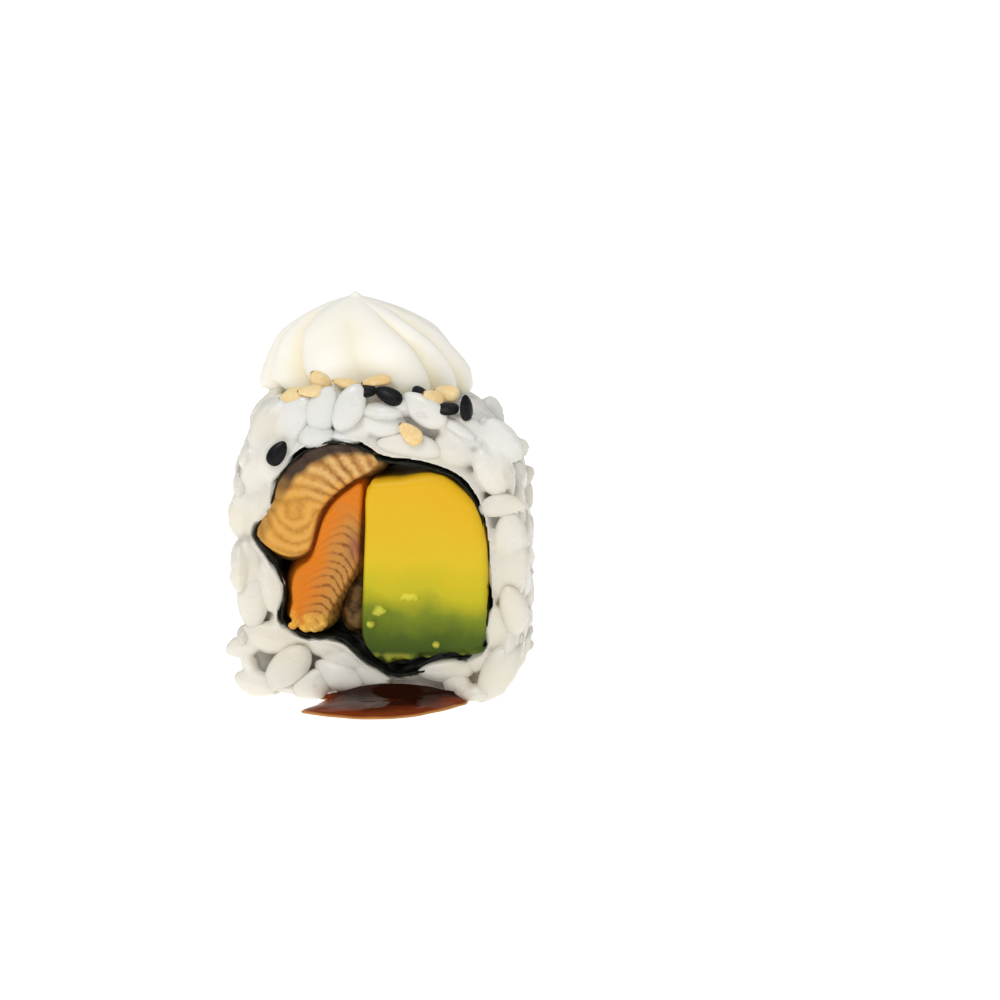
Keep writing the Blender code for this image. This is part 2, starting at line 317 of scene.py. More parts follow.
core_places = places(rice_core)
middles = np.array([grain["ends"][1] for grain in buried])
tones = np.array([grain["tone"] for grain in buried])
core_tone = np.empty(len(core_places))
for first in range(0, len(core_places), 4000):
    block = core_places[first:first + 4000]
    away = ((block[:, None, :] - middles[None]) ** 2).sum(2)
    weight = np.exp(-away / (1.6 * MM) ** 2) + 1e-9
    core_tone[first:first + 4000] = (weight * tones).sum(1) / weight.sum(1)
set_values(rice_core, "tone", core_tone)
# Painted shade: the deeper a vertex lies in a valley between grains, the lower its lit share and the greyer
# it is painted.
valleys = []
for place in core_places:
    point, facing, _, gap = rice_tree.find_nearest(Vector(place))
    valleys.append(gap if (Vector(place) - point).dot(facing) < 0.0 else 0.0)
set_values(rice_core, "lit_share", np.clip(1.0 - np.array(valleys) / VALLEY_DEPTH, 0.0, 1.0))


def shade(tree, kind, inputs=(), **settings):
    """One shader node, with its settings, and each input as a value or as a link from another node."""
    node = tree.nodes.new(kind)
    for name, value in settings.items():
        setattr(node, name, value)
    for name, value in dict(inputs).items():
        if isinstance(value, bpy.types.NodeSocket):
            tree.links.new(value, node.inputs[name])
        else:
            node.inputs[name].default_value = value
    return node


def attribute(tree, name):
    return shade(tree, "ShaderNodeAttribute", attribute_name=name).outputs["Fac"]


def spots(tree, size, detail=2.0, roughness=0.5, stretch=(1.0, 1.0, 1.0)):
    """Soft noise on the object's own coordinates; size is about one spot's width in metres."""
    where = shade(tree, "ShaderNodeTexCoord").outputs["Object"]
    turned = shade(tree, "ShaderNodeMapping", {"Vector": where, "Scale": stretch}).outputs["Vector"]
    return shade(tree, "ShaderNodeTexNoise", {
        "Vector": turned, "Scale": 1.0 / size, "Detail": detail, "Roughness": roughness,
    }).outputs["Fac"]


def remap(tree, value, start, end, low=0.0, high=1.0):
    return shade(tree, "ShaderNodeMapRange", {
        "Value": value, "From Min": start, "From Max": end, "To Min": low, "To Max": high,
    }, interpolation_type="SMOOTHSTEP").outputs["Result"]


def maths(tree, operation, first, second):
    node = shade(tree, "ShaderNodeMath", operation=operation)
    for slot, value in enumerate((first, second)):
        if isinstance(value, bpy.types.NodeSocket):
            tree.links.new(value, node.inputs[slot])
        else:
            node.inputs[slot].default_value = value
    return node.outputs["Value"]


def blended(tree, share, first, second):
    """Two colours mixed by a share that is a link or a number."""
    node = shade(tree, "ShaderNodeMix", data_type="RGBA")
    for slot, value in ((0, share), (6, first), (7, second)):
        if isinstance(value, bpy.types.NodeSocket):
            tree.links.new(value, node.inputs[slot])
        else:
            node.inputs[slot].default_value = value if slot == 0 else (*value, 1.0)
    return node.outputs[2]


def axis(tree, name):
    """One of the object's own coordinates, in metres."""
    where = shade(tree, "ShaderNodeTexCoord").outputs["Object"]
    return shade(tree, "ShaderNodeSeparateXYZ", {"Vector": where}).outputs[name]


def food(name, colour, roughness, bump_size, bump_depth, subsurface=0.0, coat=0.0, specular=0.5):
    """A food finish: its colour and roughness may come from nodes, and its bump is one faint noise."""
    material = bpy.data.materials.new(name)
    material.use_nodes = True
    tree = material.node_tree
    shader = tree.nodes["Principled BSDF"]
    colour_socket, rough_socket = colour(tree), roughness(tree)
    tree.links.new(colour_socket, shader.inputs["Base Color"])
    tree.links.new(rough_socket, shader.inputs["Roughness"])
    shader.inputs["Subsurface Weight"].default_value = subsurface
    shader.inputs["Subsurface Radius"].default_value = (1.0, 0.85, 0.65)
    shader.inputs["Subsurface Scale"].default_value = 2.6 * MM
    shader.inputs["Specular IOR Level"].default_value = specular
    shader.inputs["Coat Weight"].default_value = coat
    shader.inputs["Coat Roughness"].default_value = 0.12
    height = spots(tree, bump_size, detail=3.0)
    bump = shade(tree, "ShaderNodeBump", {"Height": height, "Strength": 1.0, "Distance": bump_depth})
    tree.links.new(bump.outputs["Normal"], shader.inputs["Normal"])
    return material


RICE_WHITE = (0.81, 0.775, 0.69)
RICE_GREY = (0.68, 0.65, 0.57)
# Painted shade for the valleys between grains and the grains' tips.
RICE_VALLEY_SHADE = (0.44, 0.415, 0.36)
RICE_WARM = (0.78, 0.72, 0.585)
RICE_LIT_TOP = (0.75, 0.76, 0.75)
RICE_STAINED = (0.30, 0.13, 0.06)
STAIN_HEIGHT = 2.6 * MM


def rice_colour(tree):
    toned = blended(tree, attribute(tree, "tone"), RICE_GREY, RICE_WHITE)
    # Painted shade in the valleys between grains and at the loose grains' tips.
    shaded = blended(tree, remap(tree, attribute(tree, "lit_share"), 0.0, 0.75), RICE_VALLEY_SHADE, toned)
    # Painted light: towards the top the rice is painted a cooler, more neutral white.
    lit_top = blended(tree, remap(tree, axis(tree, "Z"), 29 * MM, 33 * MM, 0.0, 0.6), shaded, RICE_LIT_TOP)
    warm = blended(tree, remap(tree, spots(tree, 9 * MM), 0.45, 0.7, 0.0, 0.7), lit_top, RICE_WARM)
    low = remap(tree, axis(tree, "Z"), 0.2 * MM, STAIN_HEIGHT, 1.0, 0.0)
    near = remap(tree, axis(tree, "Y"), FRONT, FRONT + 2.5 * MM, 1.0, 0.0)
    right = remap(tree, axis(tree, "X"), 9 * MM, 12.5 * MM, 1.0, 0.0)
    left = remap(tree, axis(tree, "X"), -8.5 * MM, -5 * MM)
    patchy = remap(tree, spots(tree, 1.6 * MM), 0.3, 0.7, 0.6, 1.0)
    stain = maths(tree, "MULTIPLY", maths(tree, "MULTIPLY", low, near), maths(tree, "MULTIPLY", right, left))
    return blended(tree, maths(tree, "MULTIPLY", stain, patchy), warm, RICE_STAINED)


def rice_gloss(tree):
    return remap(tree, spots(tree, 2.2 * MM), 0.35, 0.7, 0.24, 0.48)


rice_finish = food("rice", rice_colour, rice_gloss, 0.7 * MM, 0.035 * MM, subsurface=0.2, coat=0.05)


def finish_piece(piece, material):
    piece.data.materials.clear()
    piece.data.materials.append(material)
    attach(piece, "root")
    return piece


finish_piece(rice_core, rice_finish)
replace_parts(rice_core, "rice")


# ---- Rice, the grains on top ----------------------------------------------------------------------------
# Some of the outer grains keep their own shape: plump, glossy and a little clear at their tips. A dozen or
# so lie on the front cut face, and the rest are thrown at the sides, the top and the back cut face.

LOOSE_DEPTH = 1.25 * MM
LOOSE_SHARE = 0.7


def grain_piece(name, grains, seed, depths, segments, rings):
    """One piece of loose grains, each from a small cage that one subdivision rounds."""
    rng = random.Random(seed)
    bm = bmesh.new()
    for grain, depth in zip(grains, depths):
        add_grain(bm, grain, depth, rng, segments, rings)
    piece = made_piece(bm, name)
    rounded = piece.modifiers.new("rounded", "SUBSURF")
    rounded.levels = rounded.render_levels = 1
    return finish_piece(piece, rice_finish)


laid = laid_grains(1)
grain_piece("rice_grains_front", laid, 21, [LOOSE_DEPTH] * len(laid), 12, 10)

loose_rng = random.Random(3)
loose_side = throw_grains(loose_rng, 4200, random_side_spot, 2.9 * MM)
loose_back = throw_grains(loose_rng, 1600, lambda rng: random_face_spot(rng, 1), 2.8 * MM, loose_side)
for name, grains, seed in (("rice_grains_side", loose_side, 31), ("rice_grains_back", loose_back, 41)):
    grains = [grain for grain in grains if loose_rng.random() < LOOSE_SHARE]
    depths = [LOOSE_DEPTH + loose_rng.uniform(-0.15, 0.4) * MM for _ in grains]
    grain_piece(name, grains, seed, depths, 8, 6)


# ---- Nori -----------------------------------------------------------------------------------------------
# One sheet of dried seaweed lines the rice. Wet from it, the sheet has crinkled and gone soft and black,
# and its cut edge is ragged. It is a thin tube from cut face to cut face, following the CAD's outline.

NORI_RAYS = 300
NORI_STATIONS = 26
NORI_BODY = 0.22 * MM
NORI_OUT = 0.15 * MM
NORI_SHY = 0.3 * MM
NORI_BLACK = (0.006, 0.008, 0.006)
NORI_GREEN = (0.022, 0.026, 0.016)


def nori_outline():
    """The inner outline of the CAD's sheet, met by rays from the middle of the roll."""
    line = []
    for i in range(NORI_RAYS):
        turn = 2 * math.pi * i / NORI_RAYS
        ray = Vector((math.cos(turn), 0.0, math.sin(turn)))
        line.append(nori_tree.ray_cast(ROLL_CENTRE, ray)[0])
    return line


def crinkle(point, size, amount):
    return noise.noise(point / size) * amount


nori_line = nori_outline()
nori_bm = bmesh.new()
first_ring = bmesh.ops.create_circle(nori_bm, cap_ends=False, segments=NORI_RAYS, radius=1.0)["verts"]
for vert, point in zip(first_ring, nori_line):
    vert.co = point
ring_edges = list(nori_bm.edges)
rings = [list(first_ring)]
for _ in range(NORI_STATIONS):
    made = bmesh.ops.extrude_edge_only(nori_bm, edges=ring_edges)["geom"]
    rings.append([g for g in made if isinstance(g, bmesh.types.BMVert)])
    ring_edges = [g for g in made if isinstance(g, bmesh.types.BMEdge)]
for station, ring in enumerate(rings):
    share = station / NORI_STATIONS
    for vert, point in zip(ring, nori_line):
        outwards = (point - ROLL_CENTRE).normalized()
        y = (FRONT + NORI_SHY) * (1.0 - 2.0 * share)
        at_edge = max(0.0, 1.0 - min(share, 1.0 - share) * 12)
        here = Vector((point.x, y, point.z))
        ragged = crinkle(here, 1.3 * MM, 0.6 * MM) * at_edge
        crinkled = crinkle(here, 2.4 * MM, 0.2 * MM) + crinkle(here, 1.0 * MM, 0.08 * MM)
        vert.co = here + outwards * (NORI_OUT + crinkled)
        vert.co.y -= ragged * (1 if share < 0.5 else -1)
bmesh.ops.recalc_face_normals(nori_bm, faces=nori_bm.faces)
bmesh.ops.solidify(nori_bm, geom=nori_bm.faces[:], thickness=NORI_BODY)
nori_sheet = made_piece(nori_bm, "nori_sheet")


def nori_colour(tree):
    return blended(tree, remap(tree, spots(tree, 1.2 * MM), 0.4, 0.7), NORI_BLACK, NORI_GREEN)


def nori_gloss(tree):
    return remap(tree, spots(tree, 1.5 * MM), 0.35, 0.7, 0.3, 0.6)


nori_finish = food("nori", nori_colour, nori_gloss, 0.35 * MM, 0.05 * MM, specular=0.15)
finish_piece(nori_sheet, nori_finish)
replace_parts(nori_sheet, "nori")


# ---- Eel ------------------------------------------------------------------------------------------------
# Two strips cut from a grilled, glazed eel fillet. The upper one shows its grey skin against the nori and
# pale flakes of muscle across it; the lower one is stained orange by the glaze and crumbles at its tip.

FLAKE_DEPTH = 0.22 * MM
EEL_VOXEL = 0.17 * MM
SWELL_START = 1.6 * MM
SWELL_END = 4.0 * MM

# The middle line of each strip on the cut face, as (x, z) in millimetres, from its top end down.
UPPER_SPINE = [
    (1.0, 29.4), (-1.2, 29.6), (-4.0, 29.4), (-6.6, 28.3),
    (-8.9, 25.8), (-10.2, 22.8), (-11.2, 19.6), (-12.0, 17.0),
]
LOWER_SPINE = [
    (-1.0, 28.2), (-2.7, 25.8), (-4.2, 22.2), (-5.3, 18.4), (-6.8, 14.8), (-8.0, 11.4), (-8.8, 8.0),
]


def smooth_line(knots, steps):
    """A smooth line through the knots, as rows of x, z in metres."""
    rows = []
    ends = [knots[0], *knots, knots[-1]]
    for before, start, end, after in zip(ends, ends[1:], ends[2:], ends[3:]):
        for step in range(steps):
            t = step / steps
            rows.append([
                0.5 * (2 * b + (c - a) * t
                       + (2 * a - 5 * b + 4 * c - d) * t ** 2 + (3 * b - a - 3 * c + d) * t ** 3)
                for a, b, c, d in zip(before, start, end, after)
            ])
    return np.array(rows) * MM


def along_and_across(rows, spine):
    """For each vertex, how far along the strip's spine it lies and how far across from it, in millimetres."""
    line = smooth_line(spine, 14)
    runs = np.gradient(line, axis=0)
    steps = np.linalg.norm(runs, axis=1)
    runs /= steps[:, None]
    lengths = np.concatenate(([0.0], np.cumsum((steps[1:] + steps[:-1]) / 2)))
    flat = rows[:, [0, 2]]
    nearest = np.concatenate([
        ((flat[i:i + 4000, None] - line[None]) ** 2).sum(2).argmin(1) for i in range(0, len(flat), 4000)
    ])
    offset = flat - line[nearest]
    along = lengths[nearest] + (offset * runs[nearest]).sum(1)
    across = offset[:, 0] * -runs[nearest, 1] + offset[:, 1] * runs[nearest, 0]
    return along / MM, across / MM


def wobble(rows, size, seed=0.0):
    """Smooth noise at each vertex, about -1 to 1."""
    return np.array([noise.noise(Vector(row) / size + Vector((seed, seed, seed))) for row in rows])


def on_cut(rows):
    """1 on the two cut faces, falling to 0 within a millimetre of them; and the sign of the nearer face."""
    return np.clip(1.0 - (abs(FRONT) - np.abs(rows[:, 1])) / (0.9 * MM), 0.0, 1.0), np.sign(rows[:, 1])


def press_flakes(piece, phase, depth):
    """Rounds each flake on the cut faces and sinks the lines between them, where phase is a whole number."""
    rows = places(piece)
    cut, sign = on_cut(rows)
    line = np.abs(2 * (phase - np.floor(phase)) - 1.0)
    rows[:, 1] -= sign * cut * depth * (line ** 3 - 0.4)
    put_places(piece, rows)


def deep_inside(rows):
    """0 near either cut face, rising to 1 a few millimetres in."""
    return np.clip((abs(FRONT) - np.abs(rows[:, 1]) - SWELL_START) / (SWELL_END - SWELL_START), 0.0, 1.0)


def fill_out(piece, amount):
    """Swells a filling between the cut faces, where it is pressed against the ones beside it."""
    rows = places(piece)
    normals = np.empty(len(rows) * 3, np.float32)
    piece.data.vertex_normals.foreach_get("vector", normals)
    put_places(piece, rows + normals.reshape(-1, 3) * (deep_inside(rows) * amount)[:, None])


def press_out(piece, way, amount):
    """Moves the side that faces this way outwards, up to the sheet of nori it is pressed against."""
    rows = places(piece)
    normals = np.empty(len(rows) * 3, np.float32)
    piece.data.vertex_normals.foreach_get("vector", normals)
    facing = np.maximum(normals.reshape(-1, 3) * np.array(way), 0.0) * np.sign(way)
    put_places(piece, rows + facing * amount)


upper_eel = melted(cad_copy("eel_upper"), "eel_upper_strip", EEL_VOXEL, 3)
fill_out(upper_eel, 1.1 * MM)
press_out(upper_eel, (-1.0, 0.0, 0.7), 0.55 * MM)
rows = places(upper_eel)
along, across = along_and_across(rows, UPPER_SPINE)
slanted = (along + 0.45 * across + 0.4 * wobble(rows, 2.5 * MM)) / 1.7
# Towards its tip the strip's flakes curl round one point.
curl = np.linalg.norm((rows[:, [0, 2]] / MM - np.array([-10.2, 24.6])) * np.array([1.25, 1.0]), axis=1)
curled = np.clip((25.4 - rows[:, 2] / MM) / 2.4, 0.0, 1.0) * np.clip((-6.5 - rows[:, 0] / MM) / 1.5, 0.0, 1.0)
swirl = 5.8 + (curl + 0.5 * wobble(rows, 2.6 * MM, 8.0)) / 1.5
upper_phase = slanted * (1.0 - curled) + curled * swirl
press_flakes(upper_eel, upper_phase, FLAKE_DEPTH)
set_values(upper_eel, "phase", upper_phase)
flesh_reach = 0.9 + 0.09 * along
skin = np.clip((-across - flesh_reach + 0.4 * wobble(rows, 1.6 * MM, 3.0)) / 0.8, 0.0, 1.0)
set_values(upper_eel, "skin", skin * np.clip((14.5 - along) / 4.0, 0.35, 1.0))
glazed = np.clip((along - 7.5 + wobble(rows, 3 * MM, 7.0)) / 6.0, 0.0, 0.8)
set_values(upper_eel, "glaze", np.maximum(glazed, np.clip((across - 0.9) / 1.5, 0.0, 0.8)))
lined = np.clip(0.85 + wobble(rows, 3.0 * MM, 12.0), 0.0, 1.0) * np.clip((12.5 - along) / 4.0, 0.42, 1.0)
set_values(upper_eel, "lines", lined)
set_values(upper_eel, "crumb", np.zeros(len(rows)))
# Painted shade on the strip's sides deep between the cut faces, in the dark gaps beside the other fillings.
set_values(upper_eel, "gap_shade", deep_inside(rows))

lower_bm = cad_copy("eel_lower")
crumb_rng = random.Random(17)
for _ in range(34):
    radius = crumb_rng.uniform(0.35, 0.8) * MM
    crumb = bmesh.ops.create_icosphere(lower_bm, subdivisions=2, radius=radius)["verts"]
    share = crumb_rng.random()
    spot = Vector((-11.0 + 4.2 * share, 0.0, 9.7 - 0.4 * share + crumb_rng.uniform(-0.4, 1.0))) * MM
    spot.y = crumb_rng.choice((FRONT + 0.3 * MM, BACK - 0.3 * MM)) + crumb_rng.uniform(-0.3, 0.3) * MM
    bmesh.ops.translate(lower_bm, verts=crumb, vec=spot)
lower_eel = melted(lower_bm, "eel_lower_strip", EEL_VOXEL, 3)
fill_out(lower_eel, 1.1 * MM)
rows = places(lower_eel)
along, across = along_and_across(rows, LOWER_SPINE)
fanned = along - 0.3 * across ** 2 + 0.3 * across + 0.6 * wobble(rows, 2.4 * MM, 5.0)
lower_phase = fanned / 1.15
press_flakes(lower_eel, lower_phase, FLAKE_DEPTH * 0.7)
set_values(lower_eel, "phase", lower_phase)
set_values(lower_eel, "skin", np.clip((across - 0.6 + 0.5 * wobble(rows, 2 * MM, 9.0)) / 1.2, 0.0, 1.0)
           * np.clip(1.0 - np.abs(along - 9.0) / 3.0, 0.0, 1.0))
orange = np.clip((0.9 - across + wobble(rows, 2.4 * MM, 2.0)) / 2.4, 0.0, 1.0)
set_values(lower_eel, "glaze", np.maximum(orange, np.clip((7.0 - along) / 3.0, 0.0, 1.0)))
lined = np.clip((across + 1.6 + wobble(rows, 2.6 * MM, 4.0)) / 2.4, 0.0, 1.0)
set_values(lower_eel, "lines", lined * np.clip((along - 4.5) / 4.0, 0.0, 1.0))
crumbled = np.clip((11.2 - rows[:, 2] / MM + wobble(rows, 1.2 * MM, 6.0)) / 1.2, 0.0, 1.0)
set_values(lower_eel, "crumb", crumbled)
set_values(lower_eel, "gap_shade", deep_inside(rows))

EEL_FLESH = (0.55, 0.26, 0.06)
EEL_PALE = (0.73, 0.45, 0.17)
UPPER_LINE = (0.30, 0.12, 0.032)
LOWER_LINE = (0.24, 0.075, 0.016)
UPPER_GLAZE = (0.76, 0.36, 0.045)
LOWER_GLAZE = (0.76, 0.20, 0.006)
EEL_SKIN = (0.035, 0.024, 0.022)
EEL_PINK = (0.33, 0.12, 0.06)
EEL_CRUMB = (0.86, 0.52, 0.09)
EEL_GAP_SHADE = (0.05, 0.02, 0.008)


def eel_colour(tree, line_colour, skin_colour, pale, glaze):
    """Flesh with paler flake middles and browner lines between, then glaze, skin, a crumbled tip, and painted
    shade on the sides deep between the cut faces.
    """
    phase = attribute(tree, "phase")
    wave = maths(tree, "ABSOLUTE", maths(tree, "SUBTRACT", maths(tree, "FRACT", phase, 0.0), 0.5), 0.0)
    jitter = remap(tree, spots(tree, 0.6 * MM, detail=3.0), 0.3, 0.7, -0.09, 0.09)
    edge = maths(tree, "ADD", wave, jitter)
    line = remap(tree, edge, 0.24, 0.5)
    broken = maths(tree, "MULTIPLY", attribute(tree, "lines"), 0.85)
    mottle = remap(tree, spots(tree, 0.9 * MM, detail=4.0), 0.35, 0.7, 0.0, 0.6)
    middle = remap(tree, edge, 0.05, 0.35, 1.0, 0.0)
    grain = blended(tree, maths(tree, "MAXIMUM", mottle, middle), EEL_FLESH, pale)
    glazed = blended(tree, maths(tree, "MULTIPLY", attribute(tree, "glaze"), 0.85), grain, glaze)
    lined = blended(tree, maths(tree, "MULTIPLY", line, broken), glazed, line_colour)
    skinned = blended(tree, maths(tree, "MULTIPLY", attribute(tree, "skin"), 0.95), lined, skin_colour)
    patchy = maths(tree, "ADD", mottle, 0.3)
    crumbed = blended(tree, maths(tree, "MULTIPLY", attribute(tree, "crumb"), patchy), skinned, EEL_CRUMB)
    # Painted shade: the sides deep between the cut faces are darkened to near black.
    return blended(tree, maths(tree, "MULTIPLY", attribute(tree, "gap_shade"), 0.9), crumbed, EEL_GAP_SHADE)


def eel_gloss(tree):
    return remap(tree, spots(tree, 1.2 * MM), 0.3, 0.7, 0.28, 0.5)


def upper_colour(tree):
    return eel_colour(tree, UPPER_LINE, EEL_SKIN, EEL_PALE, UPPER_GLAZE)


def lower_colour(tree):
    return eel_colour(tree, LOWER_LINE, EEL_PINK, EEL_FLESH, LOWER_GLAZE)


upper_finish = food("eel_upper", upper_colour, eel_gloss, 0.3 * MM, 0.05 * MM, subsurface=0.1, specular=0.12)
lower_finish = food("eel_lower", lower_colour, eel_gloss, 0.3 * MM, 0.05 * MM, subsurface=0.1, specular=0.12)
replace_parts(finish_piece(upper_eel, upper_finish), "eel_upper")
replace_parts(finish_piece(lower_eel, lower_finish), "eel_lower")


# ---- Avocado --------------------------------------------------------------------------------------------
# A thick baton of ripe avocado, yellow near the stone and green near the skin, which was peeled off below.
# The knife left it smooth, with faint drag marks and a few smears; the peeled foot is torn.

AVOCADO_VOXEL = 0.22 * MM
avocado_low, avocado_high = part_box("avocado")
avocado_bm = cad_copy("avocado")
smear_rng = random.Random(8)
# Smears of softer, paler flesh on the front cut face: (x, z, length, height) in millimetres.
SMEARS = ((3.9, 13.4, 1.3, 0.5), (0.2, 11.6, 0.9, 0.6), (-0.9, 9.9, 0.4, 0.6), (7.3, 7.4, 0.4, 0.4))
for x, z, length, height in SMEARS:
    for _ in range(6):
        blob = bmesh.ops.create_icosphere(avocado_bm, subdivisions=2, radius=0.5 * MM)["verts"]
        stretch = (length * smear_rng.uniform(0.4, 1.0), 0.45, height * smear_rng.uniform(0.5, 1.0))
        bmesh.ops.scale(avocado_bm, verts=blob, vec=stretch)
        across, up = smear_rng.uniform(-0.6, 0.6) * length, smear_rng.uniform(-0.4, 0.4) * height
        shift = Vector((x + across, 0.0, z + up)) * MM + Vector((0.0, FRONT - 0.05 * MM, 0.0))
        bmesh.ops.translate(avocado_bm, verts=blob, vec=shift)
# Torn bits along the peeled foot, at both cut faces.
for end in (-1, 1):
    for step in range(22):
        share = step / 21
        radius = smear_rng.uniform(0.35, 0.8) * MM
        blob = bmesh.ops.create_icosphere(avocado_bm, subdivisions=2, radius=radius)["verts"]
        foot = Vector((0.2 + 11.3 * share, 0.0, 5.6 + 1.2 * share + smear_rng.uniform(-0.35, 0.35))) * MM
        foot.y = end * (abs(FRONT) - smear_rng.uniform(0.4, 1.0) * MM)
        bmesh.ops.scale(avocado_bm, verts=blob, vec=(1.3, 0.8, 0.7))
        bmesh.ops.translate(avocado_bm, verts=blob, vec=foot)
avocado = melted(avocado_bm, "avocado_baton", AVOCADO_VOXEL, 2)
press_out(avocado, (1.0, 0.0, 0.5), 0.9 * MM)
rows = places(avocado)
upper = np.clip((rows[:, 2] - 20 * MM) / (7 * MM), 0.0, 1.0)
rows[:, 2] -= upper * np.clip((8 * MM - rows[:, 0]) / (5 * MM), 0.0, 1.0) * 1.0 * MM
cut, sign = on_cut(rows)
flat = rows[:, [0, 2]] / MM
smeared = np.zeros(len(rows))
for x, z, length, height in SMEARS:
    near = ((flat[:, 0] - x) / (length * 1.1)) ** 2 + ((flat[:, 1] - z) / (height * 1.1)) ** 2
    patch = np.clip(1.1 - 1.2 * near + 0.9 * wobble(rows, 0.6 * MM, 2.0), 0.0, 0.7)
    smeared = np.maximum(smeared, patch * (rows[:, 1] < FRONT))
foot = np.clip(1.0 - (flat[:, 1] - 5.2) / 1.2, 0.0, 0.35)
foot *= np.clip(2.0 * wobble(rows, 1.0 * MM, 11.0), 0.0, 1.0)
set_values(avocado, "smear", np.maximum(smeared, foot))
middle = (avocado_low + avocado_high) / 2
half = (avocado_high - avocado_low) / 2
swell = 1.0 - np.clip(((rows[:, 0] - middle.x) / half.x) ** 2, 0, 1)
drag = wobble(rows * np.array([0.15, 1.0, 1.0]), 0.9 * MM)
rows[:, 1] += sign * cut * (0.75 * MM + 0.15 * MM * swell + 0.035 * MM * drag)
rows[:, 1] += sign * cut * 0.1 * MM * wobble(rows, 5 * MM, 4.0)
torn = np.clip(1.0 - (rows[:, 2] - avocado_low.z) / (2.0 * MM), 0.0, 1.0)
rows[:, 2] += torn * 0.35 * MM * wobble(rows, 0.9 * MM, 6.0)
put_places(avocado, rows)

# Going up the cut face, as (height in millimetres, colour).
AVOCADO_RIPENING = (
    (5.0, (0.028, 0.055, 0.002)), (8.6, (0.075, 0.12, 0.004)), (11.4, (0.20, 0.25, 0.008)),
    (14.4, (0.57, 0.49, 0.012)), (18.5, (0.74, 0.52, 0.014)), (26.0, (0.78, 0.45, 0.011)),
)
AVOCADO_PALE = (0.80, 0.74, 0.08)


def avocado_colour(tree):
    drift = remap(tree, spots(tree, 5 * MM, detail=4.0), 0.25, 0.75, -1.0 * MM, 1.0 * MM)
    tilt = maths(tree, "MULTIPLY", axis(tree, "X"), -0.06)
    height = maths(tree, "SUBTRACT", maths(tree, "ADD", axis(tree, "Z"), drift), tilt)
    low, high = AVOCADO_RIPENING[0][0] * MM, AVOCADO_RIPENING[-1][0] * MM
    share = shade(tree, "ShaderNodeMapRange", {
        "Value": height, "From Min": low, "From Max": high,
    }).outputs["Result"]
    ramp = shade(tree, "ShaderNodeValToRGB", {"Fac": share})
    stops = ramp.color_ramp.elements
    while len(stops) < len(AVOCADO_RIPENING):
        stops.new(0.5)
    for stop, (level, colour) in zip(stops, AVOCADO_RIPENING):
        stop.position = (level * MM - low) / (high - low)
        stop.color = (*colour, 1.0)
    return blended(tree, attribute(tree, "smear"), ramp.outputs["Color"], AVOCADO_PALE)


def avocado_gloss(tree):
    return remap(tree, spots(tree, 2.5 * MM), 0.3, 0.7, 0.3, 0.48)


avocado_finish = food("avocado", avocado_colour, avocado_gloss, 1.2 * MM, 0.03 * MM,
                      subsurface=0.12, specular=0.2)
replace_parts(finish_piece(avocado, avocado_finish), "avocado")


# ---- Fish scrap -----------------------------------------------------------------------------------------
# A scrap of dark, wet fish, tucked in the gap between the eel and the avocado, a little behind the cut.

SCRAP_DARK = (0.035, 0.016, 0.005)
SCRAP_BROWN = (0.22, 0.12, 0.035)
scrap = melted(cad_copy("fish_scrap"), "fish_scrap_piece", 0.15 * MM, 2)
fill_out(scrap, 1.2 * MM)
rows = places(scrap)
rows[:, 0] += 0.25 * MM * wobble(rows, 1.4 * MM)
rows[:, 2] += 0.25 * MM * wobble(rows, 1.2 * MM, 3.0)
put_places(scrap, rows)


def scrap_colour(tree):
    return blended(tree, remap(tree, spots(tree, 1.6 * MM), 0.35, 0.65), SCRAP_DARK, SCRAP_BROWN)


scrap_finish = food("fish_scrap", scrap_colour, nori_gloss, 0.5 * MM, 0.05 * MM,
                    subsurface=0.1, specular=0.15)
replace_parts(finish_piece(scrap, scrap_finish), "fish_scrap")


# ---- Cream cheese ---------------------------------------------------------------------------------------
# Cream cheese piped through a star nozzle: ten soft ridges that turn a little as they rise, drawn up to a
# small pulled tip, and a skirt that has spread over the rice. No two ridges are alike.

CREAM_LOBES = 10
CREAM_TWIST = 0.5
CREAM_SEGMENTS = 240
CREAM_RINGS = 110
CREAM_PALE = (0.985, 0.955, 0.87)
CREAM_BUTTERY = (0.98, 0.93, 0.81)
CREAM_GROOVE_SHADE = (0.92, 0.83, 0.60)
cream_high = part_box("cream")[1]
cream_middle = Vector((-2.6 * MM, 0.5 * MM, 0.0))
cream_reach = Vector((13.5 * MM, 11.2 * MM))
ridge_rng = random.Random(29)
ridge_depth = [ridge_rng.uniform(0.65, 1.3) for _ in range(CREAM_LOBES)]
ridge_shift = [ridge_rng.uniform(-0.6, 0.6) for _ in range(CREAM_LOBES)]


def cream_grooves(angle, height):
    """How deep the surface lies between ridges, 0 on a ridge's back and about 1 in a groove."""
    sway = 0.22 * height * math.sin(2 * angle) + 0.1 * math.sin(3 * angle + 4 * height)
    turned = (angle + 0.12 + CREAM_TWIST * height + sway) / (2 * math.pi) * CREAM_LOBES
    lobe = int(math.floor(turned)) % CREAM_LOBES
    share = turned - math.floor(turned)
    low_end = ridge_depth[lobe]
    high_end = ridge_depth[(lobe + 1) % CREAM_LOBES]
    strength = low_end + (high_end - low_end) * share
    ridge = abs(math.sin(math.pi * (share + ridge_shift[lobe] * share * (1 - share))))
    return strength * (1.0 - ridge ** 0.85)


def rice_height(x, y):
    point = rice_tree.ray_cast(Vector((x, y, 80 * MM)), Vector((0.0, 0.0, -1.0)))[0]
    return point.z if point else 36 * MM


